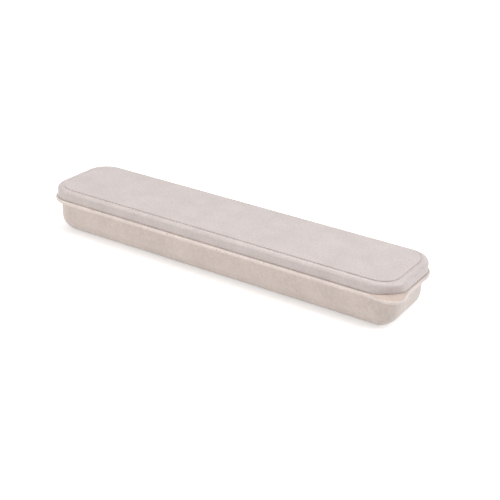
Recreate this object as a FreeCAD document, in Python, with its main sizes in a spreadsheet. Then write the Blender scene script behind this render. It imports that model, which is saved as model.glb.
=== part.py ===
import FreeCAD, Part
import math
import os

import Sketcher

# Utensil case: a moulded tray with an outward rim and a corner tab, and a lift-off lid that goes over an
# upstand on that rim.
# Frame: X along the case, -Y its long front side, Z up, origin under the middle of the tray. Millimetres.

SIZES = {
    "overall_length": 245.0,   # with the tab, which stands out of the rim
    "overall_width": 58.0,
    "overall_height": 30.0,
    "corner_radius": 16.0,     # of the rim's outline, seen from above
    "rim_thickness": 2.0,
    "rim_overhang": 3.75,      # from the tray's wall out to the rim's edge
    "rim_rounding": 1.0,       # along the rim's upper edge
    "rim_under_rounding": 0.3,
    "tray_wall": 1.5,
    "tray_floor": 1.6,
    "tray_draft": 0.5,         # degrees that the tray narrows downwards
    "foot_radius": 11.0,
    "upstand_height": 4.0,
    "upstand_wall": 1.4,
    "upstand_lead": 0.4,       # bevel along the upstand's top
    "bead_proud": 0.2,         # the snap bead round the upstand
    "bead_height": 1.0,
    "bead_drop": 1.6,          # from the upstand's top down to the bead's ridge
    "tab_end": 2.0,            # how far the corner tab stands out of the rim's end
    "tab_front": 1.2,          # and out of its front
    "tab_reach": 18.0,         # from the rim's corner back to where the tab begins, along both sides
    "lid_rise": 6.95,          # from the rim's upper face to the lid's top
    "lid_setback": 1.3,        # from the rim's edge in to the lid's side
    "lid_wall": 1.4,
    "lid_roof": 1.5,
    "lid_foot_rounding": 0.25,
    "shoulder_radius": 2.6,
    "ceiling_radius": 0.5,     # inside, under the shoulder
    "seat_gap": 0.15,          # between the rim and the lid's foot
    "fit_gap": 0.4,            # between the upstand and the lid's skirt
    "panel_inset": 3.4,        # from the lid's side in to the panel on its top
    "panel_shorter": 1.3,      # how much further in the panel's two ends lie
    "panel_step": 0.6,         # how far the lid's top dips round the panel
    "dip_width": 1.5,
    "panel_draft": 12.0,       # degrees
    "swell_width": 21.6,       # thumb swell on the tab, a low cap that the lid's foot is hollowed to go over
    "swell_height": 1.5,
    "swell_inset": 7.7,        # from the rim's rounded corner in to the swell's middle
}

RIM_LENGTH = "(sizes.overall_length - sizes.tab_end)"
RIM_WIDTH = "(sizes.overall_width - sizes.tab_front)"
HALF_LENGTH = f"{RIM_LENGTH} / 2"
HALF_WIDTH = f"{RIM_WIDTH} / 2"

# Insets from the rim's outline, shared by the pieces that fit each other.
LID_SIDE = "sizes.lid_setback"
LID_INSIDE = "(sizes.lid_setback + sizes.lid_wall)"
PANEL_SIDE = "(sizes.lid_setback + sizes.panel_inset)"
DIP_OUTSIDE = "(sizes.lid_setback + sizes.panel_inset - sizes.dip_width)"
UPSTAND_OUTSIDE = "(sizes.lid_setback + sizes.lid_wall + sizes.fit_gap)"
UPSTAND_INSIDE = "(sizes.lid_setback + sizes.lid_wall + sizes.fit_gap + sizes.upstand_wall)"
UPSTAND_MIDDLE = f"({UPSTAND_OUTSIDE} + sizes.upstand_wall / 2)"
BEAD_OUTSIDE = f"({UPSTAND_OUTSIDE} - sizes.bead_proud)"
TRAY_SIDE = "sizes.rim_overhang"
TRAY_INSIDE = "(sizes.rim_overhang + sizes.tray_wall)"

# Heights above the table.
LID_TOP = "sizes.overall_height"
RIM_TOP = "(sizes.overall_height - sizes.lid_rise)"
RIM_UNDER = f"({RIM_TOP} - sizes.rim_thickness)"
UPSTAND_TOP = f"({RIM_TOP} + sizes.upstand_height)"
BEAD_LEVEL = f"({UPSTAND_TOP} - sizes.bead_drop)"
LID_FOOT = f"({RIM_TOP} + sizes.seat_gap)"

# The bead's sides slope a little more than they need, so that they end inside the upstand's face.
EXTRA_SLOPE = "3 deg"
BEAD_SLOPE = f"atan(2 * sizes.bead_proud / sizes.bead_height) + {EXTRA_SLOPE}"

# The lid's top slopes down to the panel's foot all round it.
DIP_SLOPE = "(atan(sizes.dip_width / sizes.panel_step))"

# The foot's radius stays within this share of the upright corner that it runs round.
FOOT_SHARE = 0.9
OUTER_FOOT = f"min(sizes.foot_radius; {FOOT_SHARE} * (sizes.corner_radius - {TRAY_SIDE}))"
INNER_FOOT = f"min(sizes.foot_radius - sizes.tray_wall; {FOOT_SHARE} * (sizes.corner_radius - {TRAY_INSIDE}))"

# The rim's two roundings leave some of its edge between them.
UPPER_SHARE, UNDER_SHARE = 0.7, 0.25
RIM_ROUNDING = f"min(sizes.rim_rounding; {UPPER_SHARE} * sizes.rim_thickness)"
RIM_UNDER_ROUNDING = f"min(sizes.rim_under_rounding; {UNDER_SHARE} * sizes.rim_thickness)"

# The tab's rounded corner, and the hollow curves from the rim out to it, follow its reach.
CORNER_SHARE, BLEND_SHARE = 0.44, 0.83
TAB_CORNER = f"({CORNER_SHARE} * sizes.tab_reach)"
TAB_BLEND = f"({BLEND_SHARE} * sizes.tab_reach)"

# The swell is part of a ball, and its middle lies on the corner's diagonal, this far in from both sides.
SWELL_RADIUS = "((sizes.swell_width ^ 2 / 4 + sizes.swell_height ^ 2) / (2 * sizes.swell_height))"
SWELL_IN = "(sizes.corner_radius - (sizes.corner_radius - sizes.swell_inset) / sqrt(2))"

NEAR = 1e-4      # edges are found by their place to within this


def make_sheet(doc):
    """The driving dimensions, one named cell each."""
    sheet = doc.addObject("Spreadsheet::Sheet", "sizes")
    for row, (alias, size) in enumerate(SIZES.items(), start=1):
        sheet.set(f"A{row}", alias)
        sheet.set(f"B{row}", str(size))
        sheet.setAlias(f"B{row}", alias)
    doc.recompute()


def make_body(doc, label):
    body = doc.addObject("PartDesign::Body", label)
    body.Label = label
    body.Placement = FreeCAD.Placement()
    return body


def make_sketch(body, name, role, offsets):
    """A sketch on one of the body's own planes, moved in that plane's axes by the given expressions."""
    sketch = body.newObject("Sketcher::SketchObject", name)
    plane = [p for p in body.Origin.OriginFeatures if p.Role == role][0]
    sketch.AttachmentSupport = [(plane, "")]
    sketch.MapMode = "FlatFace"
    for axis, expression in offsets.items():
        sketch.setExpression(f"AttachmentOffset.Base.{axis}", expression)
    return sketch


def size_of(sketch, expression):
    return float(sketch.evalExpression(expression))


def drive(sketch, name, expression, kind, *places):
    """A named dimension whose size follows an expression."""
    index = sketch.addConstraint(Sketcher.Constraint(kind, *places, size_of(sketch, expression)))
    sketch.renameConstraint(index, name)
    sketch.setExpression(f"Constraints.{name}", expression)


def add_line(sketch, start, end):
    return sketch.addGeometry(Part.LineSegment(FreeCAD.Vector(*start, 0), FreeCAD.Vector(*end, 0)))


def add_arc(sketch, centre, radius, start, end):
    """An arc between two angles in degrees, anticlockwise."""
    circle = Part.Circle(FreeCAD.Vector(*centre, 0), FreeCAD.Vector(0, 0, 1), radius)
    return sketch.addGeometry(Part.ArcOfCircle(circle, math.radians(start), math.radians(end)))


def rules(sketch, *constraints):
    sketch.addConstraint([Sketcher.Constraint(*c) for c in constraints])


def add_outline(sketch, inset, tag, shorter="0"):
    """A rounded rectangle that lies inside the rim's outline by the given inset, and by more at its ends."""
    length = f"{RIM_LENGTH} - 2 * ({inset} + {shorter})"
    width = f"{RIM_WIDTH} - 2 * {inset}"
    corner = f"sizes.corner_radius - {inset}"
    a, b, r = size_of(sketch, length) / 2, size_of(sketch, width) / 2, size_of(sketch, corner)
    front = add_line(sketch, (r - a, -b), (a - r, -b))
    front_right = add_arc(sketch, (a - r, r - b), r, -90, 0)
    right = add_line(sketch, (a, r - b), (a, b - r))
    back_right = add_arc(sketch, (a - r, b - r), r, 0, 90)
    back = add_line(sketch, (a - r, b), (r - a, b))
    back_left = add_arc(sketch, (r - a, b - r), r, 90, 180)
    left = add_line(sketch, (-a, b - r), (-a, r - b))
    front_left = add_arc(sketch, (r - a, r - b), r, 180, 270)
    ring = [front, front_right, right, back_right, back, back_left, left, front_left]
    rules(sketch, *[("Tangent", g, 2, ring[(i + 1) % len(ring)], 1) for i, g in enumerate(ring)])
    rules(sketch, *[("Equal", front_right, arc) for arc in (back_right, back_left, front_left)])
    rules(sketch, ("Horizontal", front), ("Horizontal", back), ("Vertical", right), ("Vertical", left))
    rules(sketch, ("Symmetric", front, 1, back, 1, -1, 1))
    drive(sketch, f"length_{tag}", length, "DistanceX", left, 1, right, 2)
    drive(sketch, f"width_{tag}", width, "DistanceY", front, 2, back, 1)
    drive(sketch, f"corner_{tag}", corner, "Radius", front_right)


def outline_sketch(body, name, level, *insets, shorter="0"):
    """A level sketch of one rounded outline, or of the ring between two."""
    sketch = make_sketch(body, name, "XY_Plane", {"z": level})
    for number, inset in enumerate(insets, start=1):
        add_outline(sketch, inset, str(number), shorter)
    return sketch


def extrude(body, kind, name, sketch, length, down=False, taper=None):
    """A pad or pocket of a sketch, upwards unless it goes down, that narrows by a taper."""
    feature = body.newObject(f"PartDesign::{kind}", name)
    feature.Profile = (sketch, [""])
    feature.setExpression("Length", length)
    feature.Reversed = down if kind == "Pad" else not down
    if taper:
        feature.setExpression("TaperAngle", f"-{taper}")
    body.Document.recompute()


def extrude_both_ways(body, name, sketch, length, taper="0"):
    """A pad that stands as far out of one side of its sketch as of the other, narrowing both ways."""
    feature = body.newObject("PartDesign::Pad", name)
    feature.Profile = (sketch, [""])
    feature.SideType = "Symmetric"
    feature.setExpression("Length", length)
    feature.setExpression("TaperAngle", f"-({taper})")
    body.Document.recompute()


def dress_edges(body, kind, name, size, level):
    """A fillet or chamfer on every edge of the body so far that lies flat at one height."""
    base = body.Tip
    height = size_of(base, level)
    names = [f"Edge{i}" for i, edge in enumerate(base.Shape.Edges, start=1) if lies_at(edge, height)]
    feature = body.newObject(f"PartDesign::{kind}", name)
    feature.Base = (base, names)
    feature.setExpression("Radius" if kind == "Fillet" else "Size", size)
    body.Document.recompute()


def lies_at(edge, height):
    box = edge.BoundBox
    return abs(box.ZMin - height) < NEAR and abs(box.ZMax - height) < NEAR


def tab_slant(sketch, out_along, out_across):
    """Degrees that the tab's edge turns away from a side, where it runs between its hollow and its corner."""
    reach = size_of(sketch, "sizes.tab_reach")
    corner, blend = size_of(sketch, TAB_CORNER), size_of(sketch, TAB_BLEND)
    along = reach + size_of(sketch, out_along) - corner
    across = blend - size_of(sketch, out_across) + corner
    turn = math.atan2(along, across) - math.acos((blend + corner) / math.hypot(along, across))
    return math.degrees(turn)


def add_rim(body):
    """The flat rim, which runs out into the finger tab at its right front corner."""
    sketch = make_sketch(body, "rim_outline", "XY_Plane", {"z": RIM_UNDER})
    a, b = size_of(sketch, HALF_LENGTH), size_of(sketch, HALF_WIDTH)
    r = size_of(sketch, "sizes.corner_radius")
    reach = size_of(sketch, "sizes.tab_reach")
    corner, blend = size_of(sketch, TAB_CORNER), size_of(sketch, TAB_BLEND)
    tip_x = f"{HALF_LENGTH} + sizes.tab_end - {TAB_CORNER}"
    tip_y = f"{HALF_WIDTH} + sizes.tab_front - {TAB_CORNER}"
    tip_centre = (size_of(sketch, tip_x), -size_of(sketch, tip_y))
    front_turn = tab_slant(sketch, "sizes.tab_end", "sizes.tab_front")
    end_turn = tab_slant(sketch, "sizes.tab_front", "sizes.tab_end")

    def beside(centre, radius, degrees):
        angle = math.radians(degrees)
        return centre[0] + radius * math.cos(angle), centre[1] + radius * math.sin(angle)

    front_hollow, end_hollow = (a - reach, -b - blend), (a + blend, reach - b)
    front = add_line(sketch, (r - a, -b), (a - reach, -b))
    front_blend = add_arc(sketch, front_hollow, blend, 90 - front_turn, 90)
    front_edge = add_line(sketch, beside(front_hollow, blend, 90 - front_turn),
                          beside(tip_centre, corner, 270 - front_turn))
    tip = add_arc(sketch, tip_centre, corner, -90 - front_turn, end_turn)
    end_edge = add_line(sketch, beside(tip_centre, corner, end_turn),
                        beside(end_hollow, blend, 180 + end_turn))
    end_blend = add_arc(sketch, end_hollow, blend, 180, 180 + end_turn)
    right = add_line(sketch, (a, reach - b), (a, b - r))
    back_right = add_arc(sketch, (a - r, b - r), r, 0, 90)
    back = add_line(sketch, (a - r, b), (r - a, b))
    back_left = add_arc(sketch, (r - a, b - r), r, 90, 180)
    left = add_line(sketch, (-a, b - r), (-a, r - b))
    front_left = add_arc(sketch, (r - a, r - b), r, 180, 270)

    ring = [right, back_right, back, back_left, left, front_left, front]
    rules(sketch, *[("Tangent", g, 2, h, 1) for g, h in zip(ring, ring[1:])])
    rules(sketch, ("Tangent", front, 2, front_blend, 2), ("Tangent", front_blend, 1, front_edge, 1))
    rules(sketch, ("Tangent", front_edge, 2, tip, 1), ("Tangent", tip, 2, end_edge, 1))
    rules(sketch, ("Tangent", end_edge, 2, end_blend, 2), ("Tangent", end_blend, 1, right, 1))
    rules(sketch, *[("Equal", back_right, arc) for arc in (back_left, front_left)])
    rules(sketch, ("Equal", front_blend, end_blend))
    rules(sketch, ("Horizontal", front), ("Horizontal", back), ("Vertical", right), ("Vertical", left))
    drive(sketch, "half_length", HALF_LENGTH, "DistanceX", left, 1, -1, 1)
    drive(sketch, "half_width", HALF_WIDTH, "DistanceY", front, 1, -1, 1)
    drive(sketch, "length", RIM_LENGTH, "DistanceX", left, 1, right, 2)
    drive(sketch, "width", RIM_WIDTH, "DistanceY", front, 1, back, 2)
    drive(sketch, "corner", "sizes.corner_radius", "Radius", back_right)
    drive(sketch, "blend", TAB_BLEND, "Radius", front_blend)
    drive(sketch, "tab_corner", TAB_CORNER, "Radius", tip)
    drive(sketch, "tip_x", tip_x, "DistanceX", -1, 1, tip, 3)
    drive(sketch, "tip_y", tip_y, "DistanceY", tip, 3, -1, 1)
    drive(sketch, "reach_front", f"{HALF_LENGTH} - sizes.tab_reach", "DistanceX", -1, 1, front, 2)
    drive(sketch, "reach_end", f"{HALF_WIDTH} - sizes.tab_reach", "DistanceY", right, 1, -1, 1)
    extrude(body, "Pad", "rim", sketch, "sizes.rim_thickness")
    dress_edges(body, "Fillet", "rim_edge", RIM_ROUNDING, RIM_TOP)
    dress_edges(body, "Fillet", "rim_under_edge", RIM_UNDER_ROUNDING, RIM_UNDER)


def add_swell(body, kind, gap):
    """The thumb swell, turned about an upright axis: added on the rim, or cut away with a gap over it."""
    sketch = make_sketch(body, "swell_outline", "XZ_Plane",
                         {"x": f"{HALF_LENGTH} - {SWELL_IN}", "z": f"{HALF_WIDTH} - {SWELL_IN}"})
    radius, top = f"{SWELL_RADIUS} + {gap}", f"{RIM_TOP} + sizes.swell_height + {gap}"
    r, high, low = size_of(sketch, radius), size_of(sketch, top), size_of(sketch, RIM_TOP)
    slope = math.acos((r - high + low) / r)
    axis = add_line(sketch, (0, high), (0, low))
    base = add_line(sketch, (0, low), (r * math.sin(slope), low))
    cap = add_arc(sketch, (0, high - r), r, 90 - math.degrees(slope), 90)
    rules(sketch, ("Coincident", axis, 2, base, 1), ("Coincident", base, 2, cap, 1))
    rules(sketch, ("Coincident", cap, 2, axis, 1), ("Vertical", axis), ("Horizontal", base))
    rules(sketch, ("PointOnObject", axis, 1, -2), ("PointOnObject", cap, 3, -2))
    drive(sketch, "radius", radius, "Radius", cap)
    drive(sketch, "top", top, "DistanceY", -1, 1, axis, 1)
    drive(sketch, "base", RIM_TOP, "DistanceY", -1, 1, axis, 2)
    feature = body.newObject(f"PartDesign::{kind}", "swell")
    feature.Profile = (sketch, [""])
    feature.ReferenceAxis = (sketch, ["V_Axis"])
    body.Document.recompute()


def make_tray(doc):
    body = make_body(doc, "tray")
    add_rim(body)
    add_swell(body, "Revolution", "0")
    inside = outline_sketch(body, "swell_trim_outline", RIM_TOP, UPSTAND_INSIDE)
    extrude(body, "Pocket", "swell_trim", inside, "sizes.swell_height")

    block = outline_sketch(body, "tray_outline", RIM_TOP, TRAY_SIDE)
    extrude(body, "Pad", "tray_block", block, RIM_TOP, down=True, taper="sizes.tray_draft")
    cavity = outline_sketch(body, "cavity_outline", RIM_TOP, TRAY_INSIDE)
    depth = f"{RIM_TOP} - sizes.tray_floor"
    extrude(body, "Pocket", "cavity", cavity, depth, down=True, taper="sizes.tray_draft")
    dress_edges(body, "Fillet", "inner_foot", INNER_FOOT, "sizes.tray_floor")
    dress_edges(body, "Fillet", "foot", OUTER_FOOT, "0")

    upstand = outline_sketch(body, "upstand_outline", RIM_UNDER, UPSTAND_OUTSIDE, UPSTAND_INSIDE)
    extrude(body, "Pad", "upstand", upstand, "sizes.rim_thickness + sizes.upstand_height")
    dress_edges(body, "Chamfer", "upstand_top", "sizes.upstand_lead", UPSTAND_TOP)
    bead = outline_sketch(body, "bead_outline", BEAD_LEVEL, BEAD_OUTSIDE, UPSTAND_MIDDLE)
    extrude_both_ways(body, "bead", bead, "sizes.bead_height", BEAD_SLOPE)
    return body


def make_lid(doc):
    body = make_body(doc, "lid")
    height = f"{LID_TOP} - {LID_FOOT}"
    side = outline_sketch(body, "lid_outline", LID_FOOT, LID_SIDE)
    extrude(body, "Pad", "lid_block", side, height)
    dress_edges(body, "Fillet", "shoulder", "sizes.shoulder_radius", LID_TOP)
    dress_edges(body, "Fillet", "lid_foot", "sizes.lid_foot_rounding", LID_FOOT)

    dip = outline_sketch(body, "dip_outline", LID_TOP, DIP_OUTSIDE, shorter="sizes.panel_shorter")
    extrude(body, "Pocket", "dip", dip, "sizes.panel_step", down=True, taper=DIP_SLOPE)
    foot = f"{LID_TOP} - sizes.panel_step"
    panel = outline_sketch(body, "panel_outline", foot, PANEL_SIDE, shorter="sizes.panel_shorter")
    extrude(body, "Pad", "panel", panel, "sizes.panel_step", taper="sizes.panel_draft")
    hollow = outline_sketch(body, "hollow_outline", LID_FOOT, LID_INSIDE)
    extrude(body, "Pocket", "hollow", hollow, f"{height} - sizes.lid_roof")
    dress_edges(body, "Fillet", "ceiling", "sizes.ceiling_radius", f"{LID_TOP} - sizes.lid_roof")
    add_swell(body, "Groove", "sizes.seat_gap")
    return body


def check(doc, bodies):
    """Stop before anything is written if a feature failed or a piece isn't one sound solid."""
    failed = [o.Name for o in doc.Objects if {"Invalid", "Error"} & set(o.State)]
    if failed:
        raise RuntimeError(f"features that failed: {failed}")
    for body in bodies:
        shape = body.Shape
        if shape.isNull() or not shape.isValid() or len(shape.Solids) != 1:
            raise RuntimeError(f"{body.Label} isn't one sound solid")


def main():
    doc = FreeCAD.newDocument("utensil_case")
    make_sheet(doc)
    bodies = [make_tray(doc), make_lid(doc)]
    doc.recompute()
    check(doc, bodies)
    os.makedirs("parts", exist_ok=True)
    for body in bodies:
        body.Shape.exportStep(f"parts/{body.Label}.step")
        box = body.Shape.optimalBoundingBox()
        print(f"{body.Label}: {body.Shape.Volume / 1000:.2f} cm3, x {box.XMin:.2f} to {box.XMax:.2f}, "
              f"y {box.YMin:.2f} to {box.YMax:.2f}, z {box.ZMin:.2f} to {box.ZMax:.2f}")


main()
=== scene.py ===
import math

import bpy
from mathutils import Matrix, Vector


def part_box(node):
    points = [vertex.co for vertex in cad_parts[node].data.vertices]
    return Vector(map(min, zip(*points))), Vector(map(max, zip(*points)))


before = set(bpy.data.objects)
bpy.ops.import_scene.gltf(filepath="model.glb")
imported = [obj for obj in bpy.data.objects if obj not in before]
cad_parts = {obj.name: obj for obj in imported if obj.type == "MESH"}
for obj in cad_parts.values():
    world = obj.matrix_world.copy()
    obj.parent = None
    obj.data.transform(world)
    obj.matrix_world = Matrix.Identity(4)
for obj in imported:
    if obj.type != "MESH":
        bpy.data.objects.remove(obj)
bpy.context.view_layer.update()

MM = 0.001
WHITE = (1.0, 1.0, 1.0)
WARM = (1.0, 0.97, 0.92)

# The camera stands in front of the right end, looking down on the lid. Angles in degrees, lengths in mm.
CAMERA = {
    "azimuth": 31.182, "elevation": 24.714, "roll": 2.542,
    "distance": 660.1, "right": 11.80, "up": 8.30,
}
IMAGE_PIXELS = 500
FOCAL_PIXELS = 1090.5
SENSOR = 36.0
CLIP = (0.01, 20)    # metres

# Soft lamps, which face the middle of the case. Sizes and distance in metres, azimuth in degrees from the
# front towards the right end.
LAMPS = {
    "top": {"azimuth": -90, "elevation": 82, "size": (0.6, 0.6), "power": 4.3, "colour": WHITE},
    "key": {"azimuth": -45, "elevation": 48, "size": (0.6, 0.6), "power": 1.4, "colour": WARM},
    "front": {"azimuth": -15, "elevation": 20, "size": (0.8, 0.4), "power": 2.85, "colour": WARM},
    "right": {"azimuth": 104, "elevation": 42, "size": (0.5, 0.8), "power": 4.95, "colour": WHITE},
    "fill": {"azimuth": 50, "elevation": 68, "size": (0.3, 0.3), "power": 1.0, "colour": WHITE},
}
LAMP_DISTANCE = 1.0
SKY_STRENGTH = 0.1

# The floor, in metres. To the camera it glows a little, so that it looks white and keeps the shadow, and
# the glow rises to 1 over the fade's distances, where the lamps don't reach.
FLOOR_SIZE = 6.0
FLOOR_DROP = 0.0001    # keeps it off the tray's underside
FLOOR_COLOUR = (0.92, 0.92, 0.92, 1)
FLOOR_ROUGHNESS = 0.9
FLOOR_GLOW = 0.45
FLOOR_FADE = (0.5, 1.5)

# Straw plastic: a pinkish beige with slow clouds, fine grain and short straw fibres in it. Lengths in mm.
LID_COLOUR = (0.6, 0.535, 0.524)
TRAY_COLOUR = (0.66, 0.575, 0.535)
CLOUDS = {"size": 14.0, "depth": 0.045}
GRAIN = {"size": 1.5, "depth": 0.06}
FIBRES = {
    "pale": {"cell": 3.4, "length": 3.2, "width": 0.5, "share": 0.8, "tint": (1.21, 1.21, 1.17, 1)},
    "brown": {"cell": 4.4, "length": 2.8, "width": 0.42, "share": 0.6, "tint": (0.64, 0.55, 0.48, 1)},
    "specks": {"cell": 8.0, "length": 0.9, "width": 0.8, "share": 0.5, "tint": (0.56, 0.48, 0.42, 1)},
}
FIBRE_EDGE = (0.6, 1.0)    # a fibre fades out between these shares of its half length and width
POLISH = {"size": 6.0, "smooth": 0.3, "dull": 0.38}
TEXTURE = {"size": 0.45, "height": 0.012}
NOISE_DETAIL = 2.0
NOISE_RANGE = (0.3, 0.7)    # most of the noise lies between these

# Painted light and shade on the tray: the rim's upright edge is painted paler than the walls, as painted
# light, and the corner tab's upper face is painted darker and warmer, as painted shade. Lengths in mm.
RIM_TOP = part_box("lid")[0][2] / MM
# painted light: a paler tint on the rim's upright edge
RIM_EDGE_PAINTED_LIGHT = {"low": RIM_TOP - 2.2, "high": RIM_TOP, "tint": (1.16, 1.17, 1.19, 1)}
# painted shade: a darker, warmer tint on the tab's upper face
TAB_PAINTED_SHADE = {"low": RIM_TOP - 0.4, "high": RIM_TOP + 1.5, "tint": (0.92, 0.86, 0.82, 1)}
TAB_CORNER = (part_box("tray")[1][0] / MM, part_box("tray")[0][1] / MM, RIM_TOP)
TAB_FADE = (14.4, 18.0)     # distances from the corner over which the tab's painted shade ends
UPRIGHT_FADE = (0.75, 0.9)  # how far up or down a face looks where the edge's painted light ends
LEVEL_FADE = (0.9, 0.98)    # how far up a face looks where the tab's painted shade starts


def direction(azimuth, elevation):
    """The unit vector towards a place in the sky."""
    a, e = math.radians(azimuth), math.radians(elevation)
    return Vector((math.sin(a) * math.cos(e), -math.cos(a) * math.cos(e), math.sin(e)))


def make_camera():
    data = bpy.data.cameras.new("camera")
    data.sensor_width = SENSOR
    data.lens = SENSOR * FOCAL_PIXELS / IMAGE_PIXELS
    data.clip_start, data.clip_end = CLIP
    camera = bpy.data.objects.new("camera", data)
    bpy.context.scene.collection.objects.link(camera)
    back = direction(CAMERA["azimuth"], CAMERA["elevation"])
    level = direction(CAMERA["azimuth"] + 90, 0)
    turn = Matrix.Rotation(math.radians(CAMERA["roll"]), 3, back)
    right, up = turn @ level, turn @ back.cross(level)
    eye = (right * CAMERA["right"] + up * CAMERA["up"] + back * CAMERA["distance"]) * MM
    axes = Matrix((right, up, back)).transposed()
    camera.matrix_world = Matrix.LocRotScale(eye, axes.to_quaternion(), None)
    bpy.context.scene.camera = camera


def make_lamp(name, azimuth, elevation, size, power, colour):
    data = bpy.data.lights.new(name, "AREA")
    data.shape = "RECTANGLE"
    data.size, data.size_y = size
    data.energy = power
    data.color = colour
    lamp = bpy.data.objects.new(name, data)
    bpy.context.scene.collection.objects.link(lamp)
    towards = direction(azimuth, elevation)
    lamp.location = towards * LAMP_DISTANCE
    lamp.rotation_mode = "QUATERNION"
    lamp.rotation_quaternion = towards.to_track_quat("Z", "Y")
    lamp.visible_camera = False


def add_node(tree, kind, inputs=None, **settings):
    """A shader node with some settings, whose inputs are other nodes' sockets or plain values."""
    node = tree.nodes.new(f"ShaderNode{kind}")
    for name, value in settings.items():
        setattr(node, name, value)
    for name, value in (inputs or {}).items():
        if isinstance(value, bpy.types.NodeSocket):
            tree.links.new(value, node.inputs[name])
        else:
            node.inputs[name].default_value = value
    return node


def calculate(tree, operation, *values):
    node = add_node(tree, "Math", dict(enumerate(values)), operation=operation)
    return node.outputs[0]


def remap(tree, value, old, new):
    """A value taken from one range to another, and held inside it."""
    limits = {"Value": value, "From Min": old[0], "From Max": old[1], "To Min": new[0], "To Max": new[1]}
    return add_node(tree, "MapRange", limits).outputs["Result"]


def seen_directly(tree):
    """1 for what the camera sees, also mirrored or through glass, and 0 for light that falls on things."""
    path = add_node(tree, "LightPath").outputs
    reflected = calculate(tree, "MAXIMUM", path["Is Glossy Ray"], path["Is Transmission Ray"])
    return calculate(tree, "MAXIMUM", path["Is Camera Ray"], reflected)


def make_floor():
    bpy.ops.mesh.primitive_plane_add(size=FLOOR_SIZE, location=(0, 0, -FLOOR_DROP))
    floor = bpy.context.object
    floor.name = "floor"
    material = bpy.data.materials.new("floor")
    material.use_nodes = True
    tree = material.node_tree
    shader = tree.nodes["Principled BSDF"]
    shader.inputs["Base Color"].default_value = FLOOR_COLOUR
    shader.inputs["Roughness"].default_value = FLOOR_ROUGHNESS
    shader.inputs["Emission Color"].default_value = (*WHITE, 1)
    place = add_node(tree, "TexCoord").outputs["Object"]
    away = add_node(tree, "VectorMath", {0: place}, operation="LENGTH").outputs["Value"]
    glow = remap(tree, away, FLOOR_FADE, (FLOOR_GLOW, 1))
    shown = calculate(tree, "MULTIPLY", seen_directly(tree), glow)
    tree.links.new(shown, shader.inputs["Emission Strength"])
    floor.data.materials.append(material)


def make_sky():
    world = bpy.data.worlds.new("sky")
    bpy.context.scene.world = world
    world.use_nodes = True
    tree = world.node_tree
    background = tree.nodes["Background"]
    background.inputs["Color"].default_value = (*WHITE, 1)
    strength = remap(tree, seen_directly(tree), (0, 1), (SKY_STRENGTH, 1))
    tree.links.new(strength, background.inputs["Strength"])


def noise(tree, place, size):
    """Soft noise about 0.5, with features of about a size."""
    inputs = {"Vector": place, "Scale": 1 / size, "Detail": NOISE_DETAIL}
    return add_node(tree, "TexNoise", inputs).outputs["Fac"]


def vary(tree, place, size, depth):
    """A factor about 1 that wanders by a depth either way."""
    return remap(tree, noise(tree, place, size), NOISE_RANGE, (1 - depth, 1 + depth))


def fibres(tree, place, cell, length, width, share):
    """1 on short straight fibres that lie at all angles, one at most to each cell."""
    cells = add_node(tree, "TexVoronoi", {"Vector": place, "Scale": 1 / cell, "Randomness": 1.0})
    middle, lot = cells.outputs["Position"], cells.outputs["Color"]
    away = add_node(tree, "VectorMath", {0: place, 1: middle}, operation="SUBTRACT").outputs[0]
    angles = add_node(tree, "VectorMath", {0: lot, "Scale": 2 * math.pi}, operation="SCALE").outputs[0]
    turned = add_node(tree, "VectorRotate", {"Vector": away, "Rotation": angles}, rotation_type="EULER_XYZ")
    halves = (length / 2, width / 2, width / 2)
    shares = add_node(tree, "VectorMath", {0: turned.outputs[0], 1: halves}, operation="DIVIDE").outputs[0]
    reach = add_node(tree, "VectorMath", {0: shares}, operation="LENGTH").outputs["Value"]
    body = remap(tree, reach, FIBRE_EDGE, (1, 0))
    drawn = add_node(tree, "TexWhiteNoise", {"Vector": middle}).outputs["Value"]
    return calculate(tree, "MULTIPLY", body, calculate(tree, "LESS_THAN", drawn, share))


def tinted(tree, colour, tint, where):
    """A colour multiplied by a tint, where a mask says so."""
    mix = add_node(tree, "MixRGB", {"Fac": where, "Color1": colour, "Color2": tint}, blend_type="MULTIPLY")
    return mix.outputs["Color"]


def between(tree, place, low, high):
    """1 between two heights."""
    height = add_node(tree, "SeparateXYZ", {0: place}).outputs["Z"]
    return calculate(tree, "COMPARE", height, (low + high) / 2, (high - low) / 2)


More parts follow.
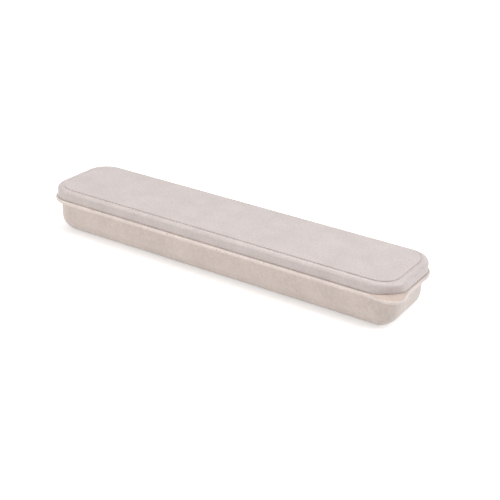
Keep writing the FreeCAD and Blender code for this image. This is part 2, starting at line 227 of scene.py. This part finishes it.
def rim_painted_light_and_shade(tree, place, colour):
    """A colour with painted light on the rim's upright edge, made paler there, and painted shade on the
    tab's upper face, made darker and warmer there.
    """
    normal = add_node(tree, "NewGeometry").outputs["Normal"]
    facing = add_node(tree, "SeparateXYZ", {0: normal}).outputs["Z"]
    upright = remap(tree, calculate(tree, "ABSOLUTE", facing), UPRIGHT_FADE, (1, 0))
    away = add_node(tree, "VectorMath", {0: place, 1: TAB_CORNER}, operation="DISTANCE").outputs["Value"]
    near = remap(tree, away, TAB_FADE, (1, 0))
    level = calculate(tree, "MULTIPLY", near, remap(tree, facing, LEVEL_FADE, (0, 1)))
    # paints light on the rim's upright edge and shade on the tab's upper face
    for part, turned in ((RIM_EDGE_PAINTED_LIGHT, upright), (TAB_PAINTED_SHADE, level)):
        there = calculate(tree, "MULTIPLY", turned, between(tree, place, part["low"], part["high"]))
        colour = tinted(tree, colour, part["tint"], there)
    return colour


def make_plastic(name, colour, with_rim):
    """Straw plastic in one colour; the piece with the rim also gets painted light on the rim's edge and
    painted shade on the tab's upper face.
    """
    material = bpy.data.materials.new(name)
    material.use_nodes = True
    tree = material.node_tree
    shader = tree.nodes["Principled BSDF"]
    metres = add_node(tree, "TexCoord").outputs["Object"]
    place = add_node(tree, "VectorMath", {0: metres, "Scale": 1 / MM}, operation="SCALE").outputs[0]

    shade = calculate(tree, "MULTIPLY", vary(tree, place, **CLOUDS), vary(tree, place, **GRAIN))
    mixed = add_node(tree, "VectorMath", {0: colour, "Scale": shade}, operation="SCALE").outputs[0]
    for fibre in FIBRES.values():
        shape = {key: value for key, value in fibre.items() if key != "tint"}
        mixed = tinted(tree, mixed, fibre["tint"], fibres(tree, place, **shape))
    # the tray gets painted light on its rim's edge and painted shade on its tab's upper face
    if with_rim:
        mixed = rim_painted_light_and_shade(tree, place, mixed)
    tree.links.new(mixed, shader.inputs["Base Color"])

    patches = noise(tree, place, POLISH["size"])
    polish = remap(tree, patches, NOISE_RANGE, (POLISH["smooth"], POLISH["dull"]))
    tree.links.new(polish, shader.inputs["Roughness"])
    height = noise(tree, place, TEXTURE["size"])
    bump = add_node(tree, "Bump", {"Height": height, "Distance": TEXTURE["height"] * MM})
    tree.links.new(bump.outputs["Normal"], shader.inputs["Normal"])
    return material


make_camera()
make_floor()
make_sky()
for name, lamp in LAMPS.items():
    make_lamp(name, **lamp)
for node, colour in (("tray", TRAY_COLOUR), ("lid", LID_COLOUR)):
    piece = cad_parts[node]
    piece.data.materials.clear()
    piece.data.materials.append(make_plastic(f"{node}_plastic", colour, with_rim=node == "tray"))

bpy.context.scene.view_settings.view_transform = "Standard"
